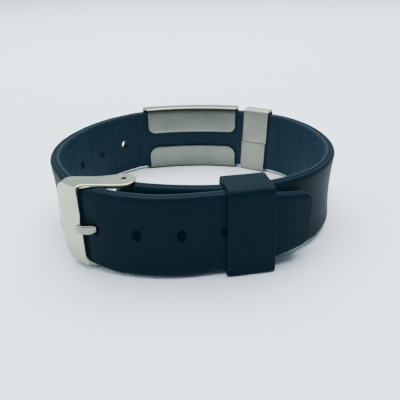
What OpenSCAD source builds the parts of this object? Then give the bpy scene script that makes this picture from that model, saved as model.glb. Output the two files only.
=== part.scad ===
// ID bracelet: a silicone strap closed by a pin buckle, lying on its edge.
// Z is up, and the origin is under the middle of the loop. Seen from above, every
// route runs to the left, so the wrist is on its left side and the outside on its right.

/* [Strap] */
// Width of the strap
strap_w = 18; // [16:0.5:22]
// Thickness of the strap
strap_t = 2.4; // [2:0.1:2.4]
// Rounding of the inner face's long edges
edge_r = 0.5; // [0.3:0.05:0.6]
// Rounding of the outer face's long edges
outer_edge_r = 0.75; // [0.4:0.05:0.8]
// Width of the groove along the middle of each long edge
edge_groove_w = 0.5; // [0.3:0.1:0.8]
// Depth of that groove
edge_groove_d = 0.3; // [0.2:0.05:0.5]
// Width of the oval holes, along the strap
hole_w = 2; // [1.9:0.05:2.4]
// Height of the oval holes, across the strap
hole_h = 2.6; // [2.4:0.05:2.8]
// Spacing of the holes round the left side, and of the lines across the inner face
back_pitch = 10; // [9:0.25:11]
// Spacing of the holes along the front
front_pitch = 9; // [8:0.25:9.5]
// Width of the fine lines on the inner face
line_w = 0.35; // [0.25:0.05:0.6]
// Depth of those lines
line_d = 0.15; // [0.1:0.05:0.3]
// How far the lines across the inner face reach to each side of its middle
line_out = 7; // [6:0.1:7.5]
// Width of the tongue at its tip
tip_w = 12; // [11:0.5:13]
// Rounding of the tip's corners
tip_r = 2; // [1:0.25:4]

/* [Metal on the strap] */
// How far the plate, the clip and the keeper stand past each edge of the strap
rim = 1; // [0.9:0.05:1.3]
// Play between the strap and the metal round it
play = 0.1; // [0.08:0.01:0.15]
// Thickness of the plate's sheet
plate_sheet = 0.7; // [0.5:0.05:0.75]
// Angle that the plate covers
plate_turn = 29.8; // [22:0.2:29.8]
// Height of the plate's upper folded tab
upper_tab_h = 7.9; // [6:0.1:8.6]
// Height of the plate's lower folded tab
lower_tab_h = 7.3; // [6:0.1:8.6]
// Rounding of the upper tab's free corners
upper_tab_r = 2.2; // [1:0.1:3]
// Rounding of the lower tab's free corners
lower_tab_r = 2.8; // [1:0.1:3]
// How far the tabs stop short of the plate's end near the clip
near_trim = 0.45; // [0.3:0.05:1.5]
// How far the tabs stop short of the plate's other end
far_trim = 1.1; // [0.3:0.05:1.5]
// Thickness of the clip's sheet
clip_sheet = 0.6; // [0.4:0.05:0.7]
// Width of the clip
clip_w = 7.9; // [5:0.1:7.9]
// Gap at the clip's butt seam
seam = 0.15; // [0.1:0.05:0.3]

/* [Keeper] */
// Width of the keeper
keeper_w = 9.6; // [7:0.2:9.6]
// Thickness of the keeper's front and back walls
keeper_wall = 1.1; // [0.9:0.05:1.2]
// Rounding of the keeper's outer corners
keeper_r = 1; // [0.6:0.1:1.2]

/* [Buckle] */
// Thickness of the buckle's two arms
arm_t = 0.85; // [0.7:0.05:0.85]
// Play between the strap's upper edge and the upper arm
arm_play = 0.45; // [0.2:0.05:0.6]
// Width of the slanted bar
bar_w = 6.8; // [6:0.1:6.9]
// Thickness of the slanted bar
bar_t = 0.95; // [0.8:0.05:0.95]
// Radius of the round lugs
lug_r = 2.95; // [2.5:0.05:3]
// Diameter of the spring bar
pin_d = 1.6; // [1.4:0.05:1.6]
// Width of the prong where it goes through its hole
prong_w = 1.5; // [1.3:0.05:1.5]
// Thickness of the prong
prong_t = 0.9; // [0.7:0.05:0.9]

/* [Hidden] */
$fn = 96;
// A hair's breadth by which a cut passes the face that it ends on
hair = 0.02;

mid_z = rim + strap_w / 2;
hole_z = mid_z + 0.4;
band_h = strap_w + 2 * rim;
half_t = strap_t / 2;

// Route of the strap's middle, from the pin round to the tongue's tip.
// Columns: bend radius, or 0 on a straight; angle of the bend, or length of the straight.
route = [
    [0, 6],          // straight behind the pin
    [53, 22],        // front, under the tongue
    [26.5, 80],      // right side
    [38, 30],        // back of the right side
    [15.5, 30.93],   // tight bend before the clip
    [0, 7.95],       // under the clip
    [10.26, 14.24],  // between the clip and the plate
    [58, 29.8],      // under the plate
    [10.5, 24.03],   // tight bend after the plate
    [38, 40.49],     // left side
    [30.7, 36.77],   // front of the left side
    [54.9, 11.95],   // under the buckle's bar
    [16.1, 33.3],    // past the bar and over the pin
    [38, 28.49],     // front, over the strap's other end
    [0, 11.6],       // through the keeper
    [32, 24]         // tongue's tip
];
START = 0;
BACK_RIGHT = 3;
CLIP = 5;
PLATE = 7;
LEFT_FRONT = 10;
FRONT = 13;
KEEPER = 14;
TIP = 15;
END = 16;
start_heading = -12.5;

function row_length(row) = row[0] == 0 ? row[1] : row[0] * row[1] * PI / 180;
// Pose [x, y, heading] after a distance d along a row that starts at pose p
function along(p, row, d) = row[0] == 0
    ? [p[0] + d * cos(p[2]), p[1] + d * sin(p[2]), p[2]]
    : turned(p, row[0], p[2] + d / row[0] * 180 / PI);
// Pose on a bend of radius r from pose p, where the heading has become h
function turned(p, r, h) = [p[0] + r * (sin(h) - sin(p[2])), p[1] - r * (cos(h) - cos(p[2])), h];

// Distance and pose at the start of each row, first measured from the pin
marks = [for (i = 0, s = 0; i <= END; s = s + (i < END ? row_length(route[i]) : 0), i = i + 1) s];
rough = [for (i = 0, p = [0, 0, start_heading]; i <= END;
    p = i < END ? along(p, route[i], row_length(route[i])) : p, i = i + 1) p];
// The loop's outermost faces, and with them its middle
x_max = turned(rough[BACK_RIGHT], route[BACK_RIGHT][0], 90)[0] + half_t;
x_min = turned(rough[LEFT_FRONT], route[LEFT_FRONT][0], 270)[0] - half_t;
y_max = turned(rough[PLATE], route[PLATE][0], 180)[1] + half_t + play + plate_sheet;
y_min = turned(rough[FRONT], route[FRONT][0], 360)[1] - half_t;
knots = [for (p = rough) [p[0] - (x_max + x_min) / 2, p[1] - (y_max + y_min) / 2, p[2]]];
// Pose at a distance s along the whole route
function row_at(s) = max([for (i = [0 : END - 1]) marks[i] <= s ? i : 0]);
function pose_at(s) = along(knots[row_at(s)], route[row_at(s)], s - marks[row_at(s)]);

// Stations of the holes and of the lines across the inner face
prong_hole_s = 201.3;
back_hole_s = 190.4;
back_holes = 6;
front_holes = 3;
back_lines = 7;
back_line_lead = 4.7;
side_lines = 8;
side_line_s = 86.8;

// Section of the strap, from the inner face over the upper edge to the outer face.
// Columns: distance outwards from the strap's middle, distance in from its long edge.
bevel = edge_r * (1 - cos(45));
outer_bevel = outer_edge_r * (1 - cos(45));
half_section = [
    [-half_t, edge_r],
    [-half_t + bevel, bevel],
    [-half_t + edge_r, 0],
    [-edge_groove_w / 2, 0],
    [0, edge_groove_d],
    [edge_groove_w / 2, 0],
    [half_t - outer_edge_r, 0],
    [half_t - outer_bevel, outer_bevel],
    [half_t, outer_edge_r]
];
// The same columns, then 1 on the upper half and -1 on the lower
section = concat(
    [for (p = half_section) [p[0], p[1], 1]],
    [for (i = [len(half_section) - 1 : -1 : 0]) [half_section[i][0], half_section[i][1], -1]]);

// Stations of the rings: every few degrees of bend, and closer round the tip's corners
ring_turn = 4;
total = marks[END];
function steps(row) = row[0] == 0 ? 1 : ceil(row[1] / ring_turn);
stations = concat(
    [for (i = [START : KEEPER], k = [0 : steps(route[i]) - 1])
        marks[i] + row_length(route[i]) * k / steps(route[i])],
    [for (k = [0 : 3]) marks[TIP] + (total - tip_r - marks[TIP]) * k / 4],
    [for (a = [0 : 15 : 90]) total - tip_r * (1 - sin(a))]);
// Half the strap's width at a station: the tongue narrows evenly and has round corners
taper_s = 229.5;
function corner(d) = d <= 0 ? 0 : tip_r - sqrt(max(0, tip_r * tip_r - d * d));
function half_width(s) = strap_w / 2 - corner(s - total + tip_r)
    - max(0, s - taper_s) / (total - taper_s) * (strap_w - tip_w) / 2;
function ring(s) = let (p = pose_at(s), w = half_width(s))
    [for (c = section) [p[0] + c[0] * sin(p[2]), p[1] - c[0] * cos(p[2]), mid_z + c[2] * (w - c[1])]];

// Strap's end round the pin, and the fork that the prong's ring sits in
loop_r = 1.9;
loop_bore_d = 1.8;
fork_w = 2.8;
fork_reach = 2.3;

// Height of the plate's folds, which the tabs' trimmed ends leave whole
fold_h = 1.2;

// Keeper, from the start of its straight: its near end, and its inner faces
keeper_from = 5.4;
keeper_out = 1.4;
keeper_in = 5.3;
keeper_cap = 0.9;
keeper_in_r = 0.5;

// Buckle, from the pin
frame_h = strap_w + rim + arm_play + arm_t;
lug_hole_d = 1.2;
lug_middle = [-0.35, -0.35];
bar_edge = [-9.56, -3.76];
bar_heading = 140;
bar_top_r = 2.4;
bar_bottom_r = 5;
arm_points = [
    lug_middle - [0, lug_r], [-2.4, -3.32], [-4.4, -3.12], [-6.4, -2.95], [-8.3, -2.95],
    [-8.9, -3.4], [-9.17, -4.08], [-12.78, -0.9], [-12.9, -0.1], [-12.3, 1.2], [-11.6, 1.6],
    [-5.2, 1.45], [-3.6, 1.8], [-2.2, 2.2], [-0.35, 2.4]];
pin_tip_d = 0.9;
pin_tip_inset = 0.3;

// Prong, from the pin: the shank up through the hole, then the tip on the bar
ring_r = 1.7;
ring_bore_d = 1.8;
ring_w = 2;
shank = [[-0.35, -1.3], [-4.4, -1.5], [-5.2, -2.45], [-6.05, -4.1], [-6.7, -4.85]];
hook = [[-6.7, -4.85], [-7.8, -5.15], [-9.1, -4.87], [-10.6, -3.62]];
hook_w = 1.8;

// Places its children at a pose, with X along the strap, Y to the wrist and Z up
module at(p) {
    translate([p[0], p[1], 0]) rotate(p[2]) children();
}

// Carries a section along a row; the section's X points outwards and its Y up
module sweep(row) {
    if (row[0] == 0) translate([row[1], 0, 0]) rotate([90, 0, -90]) linear_extrude(row[1]) children();
    else translate([0, row[0]]) rotate(-90) rotate_extrude(angle = row[1]) translate([row[0], 0]) children();
}

// Rectangle with round corners, between two opposite corners
module round_box(low, high, r) {
    translate(low + [r, 0]) square([high[0] - low[0] - 2 * r, high[1] - low[1]]);
    translate(low + [0, r]) square([high[0] - low[0], high[1] - low[1] - 2 * r]);
    for (x = [low[0] + r, high[0] - r], y = [low[1] + r, high[1] - r]) translate([x, y]) circle(r);
}

// End of the strap, rolled round the pin
module end_loop() {
    rotate_extrude() intersection() {
        round_box([-loop_r, rim], [loop_r, rim + strap_w], edge_r);
        square([loop_r, band_h]);
    }
}

// The strap from the pin to the tip, through one ring of points at each station.
// Its two ends are closed by upright strips from the upper edge to the lower.
module band() {
    n = len(section);
    last = len(stations) - 1;
    polyhedron(
        points = [for (s = stations) each ring(s)],
        faces = concat(
            [for (j = [0 : n / 2 - 2]) [j, j + 1, n - 2 - j, n - 1 - j]],
            [for (i = [0 : last - 1], j = [0 : n - 1])
                [i * n + j, (i + 1) * n + j, (i + 1) * n + (j + 1) % n, i * n + (j + 1) % n]],
            [for (j = [0 : n / 2 - 2]) [for (k = [n - 1 - j, n - 2 - j, j + 1, j]) last * n + k]]));
}

module strap_hole(s) {
    lift = (hole_h - hole_w) / 2;
    at(pose_at(s)) translate([0, 0, hole_z]) rotate([90, 0, 0]) linear_extrude(strap_t + 1, center = true) {
        for (y = [-lift, lift]) translate([0, y]) circle(d = hole_w);
        square([hole_w, 2 * lift], center = true);
    }
}

module cross_line(s) {
    at(pose_at(s)) translate([0, half_t, mid_z]) cube([line_w, 2 * line_d, 2 * line_out], center = true);
}

module strap() {
    color([0.08, 0.13, 0.17]) difference() {
        union() {
            band();
            at(knots[START]) end_loop();
        }
        at(knots[START]) {
            translate([0, 0, -1]) cylinder(d = loop_bore_d, h = band_h + 2);
            translate([-loop_r - 1, -loop_r - 1, mid_z - fork_w / 2])
                cube([loop_r + 1 + fork_reach, 2 * loop_r + 2, fork_w]);
        }
        for (i = [0 : front_holes]) strap_hole(prong_hole_s + i * front_pitch);
        for (i = [0 : back_holes - 1]) strap_hole(back_hole_s - i * back_pitch);
        for (i = [0 : back_lines - 1]) cross_line(back_hole_s - i * back_pitch + back_line_lead);
        for (i = [0 : side_lines - 1]) cross_line(side_line_s - i * back_pitch);
    }
}

// Loop round both layers of the strap
module keeper() {
    color([0.1, 0.16, 0.2]) at(knots[KEEPER])
        translate([keeper_from + keeper_w, 0, 0]) rotate([90, 0, -90]) linear_extrude(keeper_w)
            difference() {
                round_box([-keeper_in - keeper_wall, 0], [keeper_out + keeper_wall, band_h], keeper_r);
                round_box([-keeper_in, keeper_cap], [keeper_out, band_h - keeper_cap], keeper_in_r);
            }
}

// Section of a sheet folded round the strap, open on its inner side between two heights
module folded_section(sheet, corner_r, open_low, open_high) {
    inner = half_t + play;
    difference() {
        round_box([-inner - sheet, 0], [inner + sheet, band_h], corner_r);
        round_box([-inner, sheet], [inner, band_h - sheet], corner_r - sheet * 0.8);
        translate([-inner - sheet - hair, open_low]) square([sheet + 2 * hair, open_high - open_low]);
    }
}

// What is taken off one end of a tab: a strip down to the fold, and the free corner beside it.
// X runs along the plate from its end, and Y from the tab's free edge to the fold.
module tab_end(h, r, trim) {
    translate([-1, -1]) square([1 + trim, h + 1 - fold_h]);
    translate([trim, 0]) difference() {
        translate([-1, -1]) square(r + 1);
        translate([r - hair, r - hair]) circle(r);
    }
}

// Curved plate whose upper and lower edges are folded over into tabs
module id_plate() {
    radius = route[PLATE][0];
    first = (route[PLATE][1] - plate_turn) / 2;
    color([0.6, 0.6, 0.56]) at(turned(knots[PLATE], radius, knots[PLATE][2] + first)) difference() {
        sweep([radius, plate_turn]) folded_section(plate_sheet, 1, lower_tab_h, band_h - upper_tab_h);
        for (side = [0, 1], edge = [0, 1]) {
            h = [lower_tab_h, upper_tab_h][edge];
            r = [lower_tab_r, upper_tab_r][edge];
            trim = [near_trim, far_trim][side];
            translate([0, radius, 0]) rotate(side * plate_turn) translate([0, -radius, edge * band_h])
                mirror([side, 0, 0]) mirror([0, 0, edge])
                    translate([0, half_t + 3, h]) rotate([90, 0, 0]) linear_extrude(3)
                        mirror([0, 1]) tab_end(h, r, trim);
        }
    }
}

// Narrow band bent right round the strap, its two ends meeting on the inner side
module clip() {
    seam_z = band_h / 2 - 0.4;
    color([0.66, 0.66, 0.62]) at(knots[CLIP]) translate([(route[CLIP][1] - clip_w) / 2, 0, 0])
        sweep([0, clip_w]) folded_section(clip_sheet, 0.9, seam_z - seam / 2, seam_z + seam / 2);
}

// Outline of an arm and its lug
module arm_outline() {
    translate(lug_middle) circle(lug_r);
    polygon(arm_points);
}

// Places its children on the bar's inner edge, with X along the bar and Y outwards
module at_bar() {
    translate(bar_edge) rotate(bar_heading) children();
}

// Broad slanted bar, its far edge half round
module bar() {
    at_bar() intersection() {
        linear_extrude(frame_h) {
            translate([0, -bar_t]) square([bar_w - bar_t / 2, bar_t]);
            translate([bar_w - bar_t / 2, -bar_t / 2]) circle(d = bar_t);
        }
        translate([0, 1, 0]) rotate([90, 0, 0]) linear_extrude(bar_t + 2) difference() {
            square([bar_w, frame_h]);
            translate([bar_w - bar_bottom_r, 0]) difference() {
                square(bar_bottom_r);
                translate([0, bar_bottom_r]) circle(bar_bottom_r);
            }
            translate([bar_w - bar_top_r, frame_h - bar_top_r]) difference() {
                square(bar_top_r);
                circle(bar_top_r);
            }
        }
    }
}

module buckle_frame() {
    color([0.78, 0.77, 0.7]) at([knots[START][0], knots[START][1], 0]) difference() {
        union() {
            for (z = [0, frame_h - arm_t]) translate([0, 0, z]) linear_extrude(arm_t) arm_outline();
            bar();
        }
        translate([0, 0, -1]) cylinder(d = lug_hole_d, h = frame_h + 2);
    }
}

// Spring bar: a round body between the arms, and a thin tip in each lug
module buckle_pin() {
    color([0.6, 0.6, 0.58]) at([knots[START][0], knots[START][1], 0]) {
        translate([0, 0, arm_t + 0.1]) cylinder(d = pin_d, h = frame_h - 2 * arm_t - 0.2);
        translate([0, 0, pin_tip_inset]) cylinder(d = pin_tip_d, h = frame_h - 2 * pin_tip_inset);
    }
}

// Bent strip of even thickness through a row of points, seen from above
module strip(points) {
    for (i = [0 : len(points) - 2]) {
        a = points[i];
        b = points[i + 1];
        translate((a + b) / 2) rotate(atan2(b[1] - a[1], b[0] - a[0]))
            square([norm(b - a), prong_t], center = true);
    }
    for (p = points) translate(p) circle(d = prong_t);
}

// Prong: a ring on the pin, a shank up through its hole, and a wider tip on the bar
module buckle_prong() {
    color([0.7, 0.69, 0.63]) at([knots[START][0], knots[START][1], 0]) difference() {
        union() {
            translate([0, 0, mid_z - ring_w / 2]) cylinder(r = ring_r, h = ring_w);
            translate([0, 0, hole_z - prong_w / 2]) linear_extrude(prong_w) strip(shank);
            translate([0, 0, hole_z - hook_w / 2]) linear_extrude(hook_w) strip(hook);
        }
        translate([0, 0, mid_z - ring_w]) cylinder(d = ring_bore_d, h = 2 * ring_w);
    }
}

strap();
keeper();
id_plate();
clip();
buckle_frame();
buckle_pin();
buckle_prong();
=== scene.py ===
# %% [markdown]
# # A silicone ID bracelet, worked out with numpy
#
# The bracelet is a strap closed by a pin buckle, with a steel plate, a steel clip and a
# silicone keeper on it. It lies on its edge. The imported CAD model is the frame that every
# piece here is built round, so it is loaded first.

# %% Load the frame
import math

import bmesh
import bpy
import numpy as np
from mathutils import Matrix, Vector


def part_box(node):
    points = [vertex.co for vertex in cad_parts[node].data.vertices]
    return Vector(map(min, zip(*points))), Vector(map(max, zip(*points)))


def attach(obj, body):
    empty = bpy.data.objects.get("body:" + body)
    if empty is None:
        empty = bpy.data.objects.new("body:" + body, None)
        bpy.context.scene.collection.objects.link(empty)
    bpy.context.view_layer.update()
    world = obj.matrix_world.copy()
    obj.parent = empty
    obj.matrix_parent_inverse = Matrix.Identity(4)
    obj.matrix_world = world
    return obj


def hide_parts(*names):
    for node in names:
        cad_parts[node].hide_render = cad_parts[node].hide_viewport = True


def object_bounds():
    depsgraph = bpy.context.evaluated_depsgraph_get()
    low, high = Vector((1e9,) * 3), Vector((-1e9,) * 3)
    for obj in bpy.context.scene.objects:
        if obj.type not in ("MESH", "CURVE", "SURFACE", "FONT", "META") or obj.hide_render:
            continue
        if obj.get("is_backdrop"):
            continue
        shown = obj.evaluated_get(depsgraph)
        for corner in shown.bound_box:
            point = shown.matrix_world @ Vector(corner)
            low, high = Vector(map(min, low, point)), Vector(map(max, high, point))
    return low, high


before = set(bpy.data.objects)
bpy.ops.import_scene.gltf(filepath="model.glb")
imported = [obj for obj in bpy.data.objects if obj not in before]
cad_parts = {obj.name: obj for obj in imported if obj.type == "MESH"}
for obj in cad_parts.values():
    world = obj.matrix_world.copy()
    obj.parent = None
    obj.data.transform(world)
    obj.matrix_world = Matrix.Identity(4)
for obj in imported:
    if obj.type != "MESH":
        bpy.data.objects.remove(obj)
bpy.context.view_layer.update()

MM = 0.001  # one millimetre, in Blender's metres
print("CAD nodes:", sorted(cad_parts))

# %% [markdown]
# ## The route of the strap
#
# The real strap is flat when it is open. Closed, its middle runs along arcs and straights
# that touch without a kink. The same table drives the CAD strap, so everything that is laid
# along this route lands where the CAD has it. A point on the strap then needs three
# numbers only: how far along, how far outwards, and how high.

# %% The route's rows
# Columns: bend radius in mm, or 0 on a straight; turn in degrees, or length in mm
ROUTE = [
    (0, 6),          # straight behind the pin
    (53, 22),        # front, under the tongue
    (26.5, 80),      # right side
    (38, 30),        # back of the right side
    (15.5, 30.93),   # tight bend before the clip
    (0, 7.95),       # under the clip
    (10.26, 14.24),  # between the clip and the plate
    (58, 29.8),      # under the plate
    (10.5, 24.03),   # tight bend after the plate
    (38, 40.49),     # left side
    (30.7, 36.77),   # front of the left side
    (54.9, 11.95),   # under the buckle's bar
    (16.1, 33.3),    # past the bar and over the pin
    (38, 28.49),     # front, over the strap's other end
    (0, 11.6),       # through the keeper
    (32, 24),        # tongue's tip
]
CLIP_ROW, PLATE_ROW, KEEPER_ROW = 5, 7, 14
START_HEADING = math.radians(-12.5)

lengths = np.array([b if a == 0 else a * math.radians(b) for a, b in ROUTE])
bends = np.array([0 if a == 0 else 1 / a for a, b in ROUTE])
marks = np.concatenate([[0], np.cumsum(lengths)])
headings = START_HEADING + np.concatenate([[0], np.cumsum(lengths * bends)])


def arc_step(heading, bend, distance):
    """Step along a bend: the chord's length is the arc's, shortened by sin(t)/t with t half
    the turn, and the chord points along the heading plus half the turn."""
    half_turn = distance * bend / 2
    chord = distance * np.sinc(half_turn / np.pi)
    return np.stack([chord * np.cos(heading + half_turn), chord * np.sin(heading + half_turn)], -1)


pin_low, pin_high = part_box("buckle_pin")
pin_at = np.array((pin_low + pin_high) / 2)[:2] / MM
row_steps = arc_step(headings[:-1], bends, lengths)
knots = pin_at + np.concatenate([[[0, 0]], np.cumsum(row_steps, 0)])


def lay(along, out, height):
    """Point of the strap's space in metres: the route's point at a distance along it, moved
    outwards at right angles to the heading, and lifted."""
    along, out, height = np.broadcast_arrays(along, out, height)
    row = np.clip(np.searchsorted(marks, along, side="right") - 1, 0, len(ROUTE) - 1)
    over = along - marks[row]
    turn = headings[row] + over * bends[row]
    flat = knots[row] + arc_step(headings[row], bends[row], over)
    x = flat[..., 0] + out * np.sin(turn)
    y = flat[..., 1] - out * np.cos(turn)
    return np.stack([x, y, height], -1) * MM


TOTAL = marks[-1]
print(f"strap route: {TOTAL:.1f} mm, pin at {pin_at.round(2)} mm")

# %% [markdown]
# ## Grids into meshes
#
# Every surface below is an array of points with two running numbers. The pieces could be
# modelled by hand or with modifiers too, but arrays keep every size in sight and follow the
# route exactly. A grid's faces follow from the order of its points, so one helper turns any
# such array into quads, and another joins several arrays into one closed mesh whose faces
# point outwards.

# %% Points into quads
def grid(points, uv=None, keep=None, wrap=False):
    """Points and quads of a surface: quad (i, j) joins points (i, j) to (i+1, j+1), and with
    wrap the last column joins the first. keep says which quads stay."""
    n, m = points.shape[:2]
    index = np.arange(n * m).reshape(n, m)
    if wrap:
        index = np.concatenate([index, index[:, :1]], 1)
    quads = np.stack([index[:-1, :-1], index[1:, :-1], index[1:, 1:], index[:-1, 1:]], -1)
    if keep is not None:
        quads = quads[keep]
    if uv is None:
        uv = np.zeros((n, m, 2))
    return points.reshape(-1, 3), quads.reshape(-1, 4), np.asarray(uv, float).reshape(-1, 2)


# %% Grids into one mesh object
def solid(name, parts, turn_out=True, merge=0.004 * MM):
    """One mesh object of several grids: equal points are merged, which also closes seams
    and poles, and the normals of a closed form are turned outwards."""
    offsets = np.cumsum([0] + [len(p[0]) for p in parts[:-1]])
    points = np.concatenate([p[0] for p in parts])
    quads = np.concatenate([p[1] + o for p, o in zip(parts, offsets)])
    uv = np.concatenate([p[2] for p in parts])
    mesh = bpy.data.meshes.new(name)
    mesh.from_pydata(points.tolist(), [], quads.tolist())
    corner = np.empty(len(mesh.loops), np.int32)
    mesh.loops.foreach_get("vertex_index", corner)
    mesh.uv_layers.new(name="UVMap").data.foreach_set("uv", uv[corner].ravel())
    work = bmesh.new()
    work.from_mesh(mesh)
    bmesh.ops.remove_doubles(work, verts=work.verts, dist=merge)
    bmesh.ops.dissolve_degenerate(work, edges=work.edges, dist=merge / 4)
    if turn_out:
        bmesh.ops.recalc_face_normals(work, faces=work.faces)
    work.to_mesh(mesh)
    work.free()
    mesh.polygons.foreach_set("use_smooth", np.ones(len(mesh.polygons), bool))
    piece = bpy.data.objects.new(name, mesh)
    bpy.context.scene.collection.objects.link(piece)
    return piece


# %% Curves and spacings
def bump(x):
    """A smooth bump: 1 at 0, falling to 0 at -1 and 1 as half a cosine wave."""
    return np.where(np.abs(x) < 1, 0.5 + 0.5 * np.cos(np.pi * np.clip(x, -1, 1)), 0)


def spread(breaks, step):
    """Running numbers from the first break to the last, evenly spaced between breaks and no
    further apart than the step."""
    runs = [np.linspace(a, b, max(1, math.ceil((b - a) / step - 1e-6)), endpoint=False)
            for a, b in zip(breaks[:-1], breaks[1:])]
    return np.concatenate(runs + [[breaks[-1]]])


def thinned(numbers, least):
    """Rising numbers without those that follow closer than the least step."""
    return numbers[np.concatenate([[True], np.diff(numbers) > least])]


def quarter(n=5):
    """Cosine and sine over a quarter turn, from (1, 0) to (0, 1)."""
    a = np.linspace(0, np.pi / 2, n)
    return np.cos(a), np.sin(a)


# %% [markdown]
# ## The strap's section
#
# The real strap is moulded silicone. Both long edges are rounded and have a fine groove
# along their middle, so light catches them as two thin ridges. The inner face has a
# border line along each edge and short lines across, like a ladder. Lines this fine could
# be a bump in the material, but they cross the strap's outline and its highlights, so they
# are real geometry. The section is one closed outline.

# %% Sizes of the strap
WIDTH, THICK = 18.0, 2.4
MIDDLE = 10.0  # height of the strap's middle over the floor
INNER_R = 0.5  # rounding of the inner face's long edges
OUTER_R, OUTER_TALL = 0.75, 1.1  # rounding of the outer face's: through the strap, and in height
GROOVE_HALF, GROOVE_DEEP = 0.45, 0.36  # groove along both long edges
BORDER_AT, LINE_HALF, LINE_DEEP = 7.0, 0.24, 0.16  # border lines and short lines
STEP, LINE_POINTS = 1.0, 7  # longest side of the strap's quads; points across a line
BORDER_FROM, TIGHT = 5.5, 7.0  # the border keeps its width while half the strap is over TIGHT
TIP_WIDTH, TIP_R, TAPER_FROM = 12.0, 2.0, 229.5

# %% Places of the holes and of the short lines
PRONG_HOLE, BACK_HOLE = 201.3, 190.4  # distances along the route
BACK_PITCH, FRONT_PITCH = 10, 9
SIDE_LINE, LINE_LEAD = 86.8, 4.7  # last line of the right side; lead of a line over a hole
HOLE_HIGH, RIM_R = 1.3, 0.14  # half height, and rounding of the rim
FRONT_WIDE, FRONT_LIFT = 1.0, 0.4  # half width and lift of the holes in front
SIDE_WIDE, SIDE_LIFT = 1.15, 0.1  # the same on the left side
PATCH, PATCH_STEPS = 2.0, 8  # half the square that a hole takes, and the steps along it
HOLE_RINGS = 5  # rings of points from the square to the rim, and as many over the rim

back_holes = BACK_HOLE - BACK_PITCH * np.arange(6)[::-1]
holes = np.concatenate([back_holes, PRONG_HOLE + FRONT_PITCH * np.arange(4)])
side_lines = SIDE_LINE - BACK_PITCH * np.arange(8)[::-1]
back_lines = BACK_HOLE - BACK_PITCH * np.arange(7)[::-1] + LINE_LEAD
lines = np.concatenate([side_lines, back_lines])
print("holes at", holes.round(1), "mm")

# %% The section's outline
half = THICK / 2
line_from, line_to = BORDER_AT - LINE_HALF, BORDER_AT + LINE_HALF
# The break at 6 keeps the quads even between a hole's square and the border line
face_z = spread([0, PATCH, 6, line_from, line_to, WIDTH / 2 - INNER_R], STEP)
face_z = np.union1d(face_z, np.linspace(0, PATCH, PATCH_STEPS // 2 + 1))
face_z = thinned(np.union1d(face_z, np.linspace(line_from, line_to, LINE_POINTS)).round(6), 1e-3)
outer_z = np.append(face_z[:-1], WIDTH / 2 - OUTER_TALL)
cos_q, sin_q = quarter()
groove = np.linspace(-1, 1, 9)
edge_out = np.concatenate([-half + INNER_R * (1 - cos_q[1:]), GROOVE_HALF * groove,
                           half - OUTER_R * (1 - cos_q[::-1][:-1])])
edge_in = np.concatenate([INNER_R * (1 - sin_q[1:]), GROOVE_DEEP * bump(groove),
                          OUTER_TALL * (1 - sin_q[::-1][:-1])])
# Upper half from the inner face's middle to the outer face's, then the lower half back
up_out = np.concatenate([np.full(len(face_z), -half), edge_out, np.full(len(face_z), half)])
up_z = np.concatenate([face_z, WIDTH / 2 - edge_in, outer_z[::-1]])
section_out = np.concatenate([up_out, up_out[::-1][1:-1]])
section_z = np.concatenate([up_z, -up_z[::-1][1:-1]])
print(f"strap section: {len(section_out)} points")

# %% [markdown]
# ## From the straight strap to the lying one
#
# The section is carried along the route. A curve with a bevel profile could do that as well,
# but here the tongue narrows to its tip, the inner face has its lines, and the soft rubber
# curls in the bends, rises against the buckle and sags in front. As plain functions of the
# distance along the strap these are simply added up, and the holes and the ends follow them
# without more work.

# %% Narrowing and relief
def half_width(along):
    """Half the strap's width: even up to the taper, then falling evenly to the tip, less a
    quarter circle at the tip's corners."""
    taper = np.clip((along - TAPER_FROM) / (TOTAL - TAPER_FROM), 0, 1) * (WIDTH - TIP_WIDTH) / 2
    into = np.clip(along - (TOTAL - TIP_R), 0, TIP_R)
    return WIDTH / 2 - taper - (TIP_R - np.sqrt(TIP_R**2 - into**2))


def fit(z, along):
    """Height on the narrowed strap: the border keeps its width and the middle takes up the
    rest, both shrinking only where the tip's corners leave no room."""
    border = WIDTH / 2 - BORDER_FROM
    room = half_width(along)
    edge = border * np.minimum(1, room / TIGHT)
    inner = np.abs(z) * (room - edge) / BORDER_FROM
    outer = room - (WIDTH / 2 - np.abs(z)) * edge / border
    return np.sign(z) * np.where(np.abs(z) <= BORDER_FROM, inner, outer)


def relief(along, z):
    """Depth of the inner face's lines: a bump across each border line, and one across each
    short line between the borders."""
    border = bump((np.abs(z) - BORDER_AT) / LINE_HALF)
    nearest = np.abs(along[..., None] - lines).min(-1)
    ladder = bump(nearest / LINE_HALF) * (np.abs(z) < BORDER_AT)
    return LINE_DEEP * np.maximum(border, ladder)


# %% Curl, rise and sag
FLARE, FLARE_REST = 0.6, 0.4  # curl of the edges in the side bends, and what is taken off it
LEAN = 0.25 / 30  # the whole strap slopes down to the back, by 0.25 mm in 30 mm
TOP_RISE, NEAR_RISE = 0.25, 0.22  # rise of the upper edge beside the arm, and near the bar
LOW_SAG, TONGUE_SAG = 0.55, 0.8  # sag of the lower edge in front, and the tongue's share of it
# Each stretch of the strap: where it starts, how long it takes to set in, where it stops and
# how long it takes to fade, in mm along the route
RIGHT_BEND, LEFT_BEND = (32, 12, 86, 10), (136, 10, 188, 12)
BESIDE_ARM, NEAR_BAR = (199, 2.5, 214, 7), (199, 2.5, 207.5, 3)
IN_FRONT, TONGUE = (201, 4, 227, 8), (227, 6)


def slope(x):
    """Smooth step: 3x^2 - 2x^3 between 0 and 1, level outside."""
    x = np.clip(x, 0, 1)
    return x * x * (3 - 2 * x)


def stretch(along, start, onset, stop, fade):
    """Share of a stretch: a smooth step up after its start times one down before its stop."""
    return slope((along - start) / onset) * slope((stop - along) / fade)


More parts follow.
